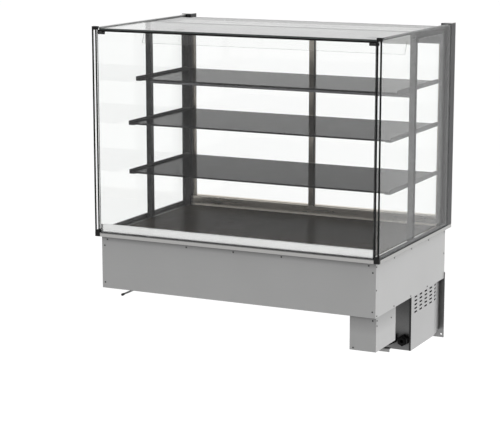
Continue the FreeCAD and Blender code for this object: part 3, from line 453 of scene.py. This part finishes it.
def spacers():
    """Spacer bars between the double panes: dark, with a light bar along the top of the left wall."""
    lo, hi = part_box("glazing_spacers")
    gap = 0.0002
    top_h, rear_w, bottom_h = 0.006, 0.016, 0.008
    x0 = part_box("side_pane_inner_right")[1].x + gap
    x1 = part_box("side_pane_outer_right")[0].x - gap
    bars = ((lo.y, hi.y, hi.z - top_h, hi.z),
            (hi.y - rear_w, hi.y, lo.z, hi.z - top_h - gap),
            (lo.y, hi.y - rear_w - gap, lo.z, lo.z + bottom_h))
    bm = bmesh.new()
    for sign in (-1, 1):
        xs = sorted((sign * x0, sign * x1))
        for ya, yb, za, zb in bars:
            first = len(bm.faces)
            add_block(bm, (xs[0], ya, za), (xs[1], yb, zb), 0.0008, 2)
            bm.faces.ensure_lookup_table()
            light = sign < 0 and zb == hi.z
            for f in bm.faces[first:]:
                f.material_index = 1 if light else 0
    obj = mesh_piece("spacer_bars", bm, ["spacer", "spacer_light"])
    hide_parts("glazing_spacers")


spacers()


# ---------------------------------------------------------------- CAD nodes that keep their shape

dress("steel_x", "service_box_bracket", "casing_rear", "casing_floor", "heater_tray")
dress("steel_front", "casing_front")
dress("steel_box", "front_service_box")
dress("steel_y", "casing_sides")
dress("steel_shade", "rear_service_box")
dress("steel_panel", "control_panel")
dress("flange", "counter_flange")
dress("sill", "rear_sill")
dress("painted_highlight_x", "front_upstand")
dress("header", "column_caps", "rear_header")
dress("paint", "mid_posts", "rear_posts", "top_rails", "rear_columns", "lower_shelf_arms",
      "middle_shelf_arms", "upper_shelf_arms")
dress("canopy", "canopy_front_rail", "canopy_sheet")
dress("alu_x", "lamp_housing")
dress("drain", "drain_tube")
dress("alu_dark", "upper_cross_bar")
dress("alu_z", "door_left_stiles", "door_right_stiles")
dress("deck", "heated_deck")
dress("plastic", "flange_corner_blocks", "wall_corner_blocks", "hinge_blocks",
      "hinge_clamps", "thermostat_body", "drain_cap", "deflector_clips", "switch_body")
dress("gloss", "switch_rocker", "thermostat_knob")
dress("gland", "cable_glands")
dress("rubber", "side_bottom_seals", "heating_mat")
dress("seal_grey", "front_seal")
dress("lens", "lamp_diffuser")
dress("amber", "indicator_lamps")
dress("screw", "casing_screws", "service_box_studs")


# ---------------------------------------------------------------- screws

def screws():
    """Domed screw heads with a recess, one on each of the CAD screws."""
    bm = bmesh.new()
    for lo, hi in islands("casing_screws"):
        size, centre = hi - lo, (hi + lo) / 2
        along = min(range(3), key=lambda i: size[i])
        axis = Vector((0, 0, 0))
        axis[along] = 1.0 if centre[along] > 0 else -1.0
        r = max(size) / 2
        seat = centre.copy()
        seat[along] = (lo if axis[along] > 0 else hi)[along]
        depth = 1.5 * MM       # washer face above the seat
        h = 1.2 * MM           # height of the dome
        profile = [(0.0, 0.0), (r * 0.5, 0.0), (r * 0.5, depth), (r, depth), (r, depth + 0.45 * h),
                   (r * 0.86, depth + 0.82 * h), (r * 0.55, depth + h), (r * 0.42, depth + h),
                   (r * 0.34, depth + 0.35 * h), (0.0, depth + 0.35 * h)]
        add_lathe(bm, profile, seat, axis, 18)
    obj = mesh_piece("screw_heads", bm, ["screw"])
    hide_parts("casing_screws")


screws()


# ---------------------------------------------------------------- small fittings

def box_corner_shade_strip():
    """Black strip down the front right corner of the rear service box: painted shade along the box's front
    edge.
    """
    lo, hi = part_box("rear_service_box")
    width, thick, gap = 0.0062, 0.0018, 0.0002
    bm = bmesh.new()
    add_block(bm, (hi.x - width, lo.y - thick, lo.z), (hi.x, lo.y - gap, hi.z - gap), 0.0005, 2)
    mesh_piece("box_corner_shade_strip", bm, ["rubber"])


def door_seals():
    """Black seal strip down the free edge of each meeting stile."""
    for side, sign in (("left", 1), ("right", -1)):
        lo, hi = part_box(f"door_{side}_stiles")
        x = hi.x if sign > 0 else lo.x
        bm = bmesh.new()
        xs = sorted((x, x + sign * 0.0012))
        add_block(bm, (xs[0], lo.y + 0.0005, lo.z + 0.002), (xs[1], lo.y + 0.0075, hi.z - 0.002), 0.0004, 2)
        mesh_piece(f"door_{side}_seals", bm, ["rubber"], f"door_{side}")


def knob_scale():
    """White ticks round the thermostat knob, from its rest position through its 270 degree travel."""
    knob_lo, knob_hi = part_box("thermostat_knob")
    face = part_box("control_panel")[1].y + 0.0001
    axis_z = 0.182         # height of the knob's axis
    centre = Vector(((knob_lo.x + knob_hi.x) / 2, face, axis_z))
    travel, steps = 270.0, 10
    w, height = 0.0006, 0.0003     # half the width of a tick, and how far it stands out
    bm = bmesh.new()
    for step in range(steps + 1):
        angle = math.radians(90 + travel / steps * step)
        out = Vector((math.cos(angle), 0, math.sin(angle)))
        side = Vector((-out.z, 0, out.x))
        near, far = (0.023, 0.027 if step % 5 else 0.029)
        corners = [centre + out * r + side * k for r, k in ((near, -w), (near, w), (far, w), (far, -w))]
        low = [bm.verts.new(c) for c in corners]
        high = [bm.verts.new(c + Vector((0, height, 0))) for c in corners]
        bm.faces.new(high)
        bm.faces.new(low)
        for i in range(4):
            bm.faces.new((low[i], low[(i + 1) % 4], high[(i + 1) % 4], high[i]))
    mesh_piece("knob_scale", bm, ["print"], smooth=False)


def pane_edge_trims():
    """Black edging on the front edges of the wall panes, a little wider than the glass."""
    width, depth = 0.0018, 0.0018
    bm = bmesh.new()
    for side in ("left", "right"):
        for layer, grow in (("outer", -1), ("inner", 1)):
            lo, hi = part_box(f"side_pane_{layer}_{side}")
            into_gap = grow if side == "right" else -grow
            x0, x1 = (hi.x, hi.x + width) if into_gap > 0 else (lo.x - width, lo.x)
            add_block(bm, (x0, lo.y + 0.0002, lo.z + 0.001), (x1, lo.y + depth, hi.z - 0.001), 0.0003, 2)
    mesh_piece("wall_edge_trims", bm, ["edge_dark"])


box_corner_shade_strip()
pane_edge_trims()
door_seals()
knob_scale()


# ---------------------------------------------------------------- stage, light, camera

def stage():
    bm = bmesh.new()
    bmesh.ops.create_grid(bm, x_segments=4, y_segments=4, size=60.0)
    for v in bm.verts:
        v.co.z = FLOOR_Z
    mesh = bpy.data.meshes.new("studio_floor")
    bm.to_mesh(mesh)
    bm.free()
    floor = bpy.data.objects.new("studio_floor", mesh)
    bpy.context.scene.collection.objects.link(floor)
    mat = surface("studio_floor", (0.93, 0.93, 0.93), 0.8, 0.0, grain=3.0, tint=0.01, bump=0.0001, wear=0.0)
    bsdf = mat.node_tree.nodes["Principled BSDF"]
    bsdf.inputs["Emission Color"].default_value = (1, 1, 1, 1)
    bsdf.inputs["Emission Strength"].default_value = FLOOR_GLOW
    mesh.materials.append(mat)


def world():
    """White studio surround: bright above, behind and to the right, dimmer in front."""
    made = bpy.data.worlds.new("studio")
    bpy.context.scene.world = made
    made.use_nodes = True
    tree = made.node_tree
    link = tree.links.new
    background = tree.nodes["Background"]
    coords = tree.nodes.new("ShaderNodeTexCoord").outputs["Generated"]
    parts = tree.nodes.new("ShaderNodeSeparateXYZ")
    link(coords, parts.inputs["Vector"])
    terms = [remap(tree, parts.outputs["Y"], 0.28, 0.42, -0.9, 0.3),
             remap(tree, parts.outputs["Y"], 0.0, 0.45, 0.45, 0.85),
             remap(tree, parts.outputs["X"], 0.0, 0.22, 0.1, 1.0),
             remap(tree, parts.outputs["Z"], 0.0, 0.75, 0.25, 0.9)]
    total = terms[0]
    for term in terms[1:]:
        add = tree.nodes.new("ShaderNodeMath")
        add.operation = "ADD"
        link(total, add.inputs[0])
        link(term, add.inputs[1])
        total = add.outputs["Value"]
    link(total, background.inputs["Strength"])
    background.inputs["Color"].default_value = (1, 1, 1, 1)


def area(name, location, target, size, power):
    data = bpy.data.lights.new(name, "AREA")
    data.shape = "RECTANGLE"
    data.size, data.size_y = size
    data.energy = power
    obj = bpy.data.objects.new(name, data)
    obj.location = location
    obj.rotation_euler = (Vector(target) - Vector(location)).to_track_quat("-Z", "Y").to_euler()
    bpy.context.scene.collection.objects.link(obj)
    obj.visible_glossy = False      # no lamp outlines in the glass


def camera():
    data = bpy.data.cameras.new("camera")
    data.sensor_width = 36.0
    data.lens = 125.05
    data.clip_end = 200.0
    obj = bpy.data.objects.new("camera", data)
    obj.location = (2.6368, -5.6432, 1.6719)
    turn, pitch = math.radians(25.9026), math.radians(11.0052)
    look = Vector((-math.sin(turn) * math.cos(pitch), math.cos(turn) * math.cos(pitch), -math.sin(pitch)))
    obj.rotation_mode = "QUATERNION"
    obj.rotation_quaternion = look.to_track_quat("-Z", "Y")
    bpy.context.scene.collection.objects.link(obj)
    bpy.context.scene.camera = obj


stage()
world()
area("key_right", (4.5, -1.5, 3.2), (0, 0, 0.6), (3.0, 2.5), 12.0)
area("top", (0.0, 0.2, 4.2), (0, 0, 0.6), (3.5, 3.0), 30.0)
camera()
bpy.context.scene.view_settings.view_transform = "Standard"
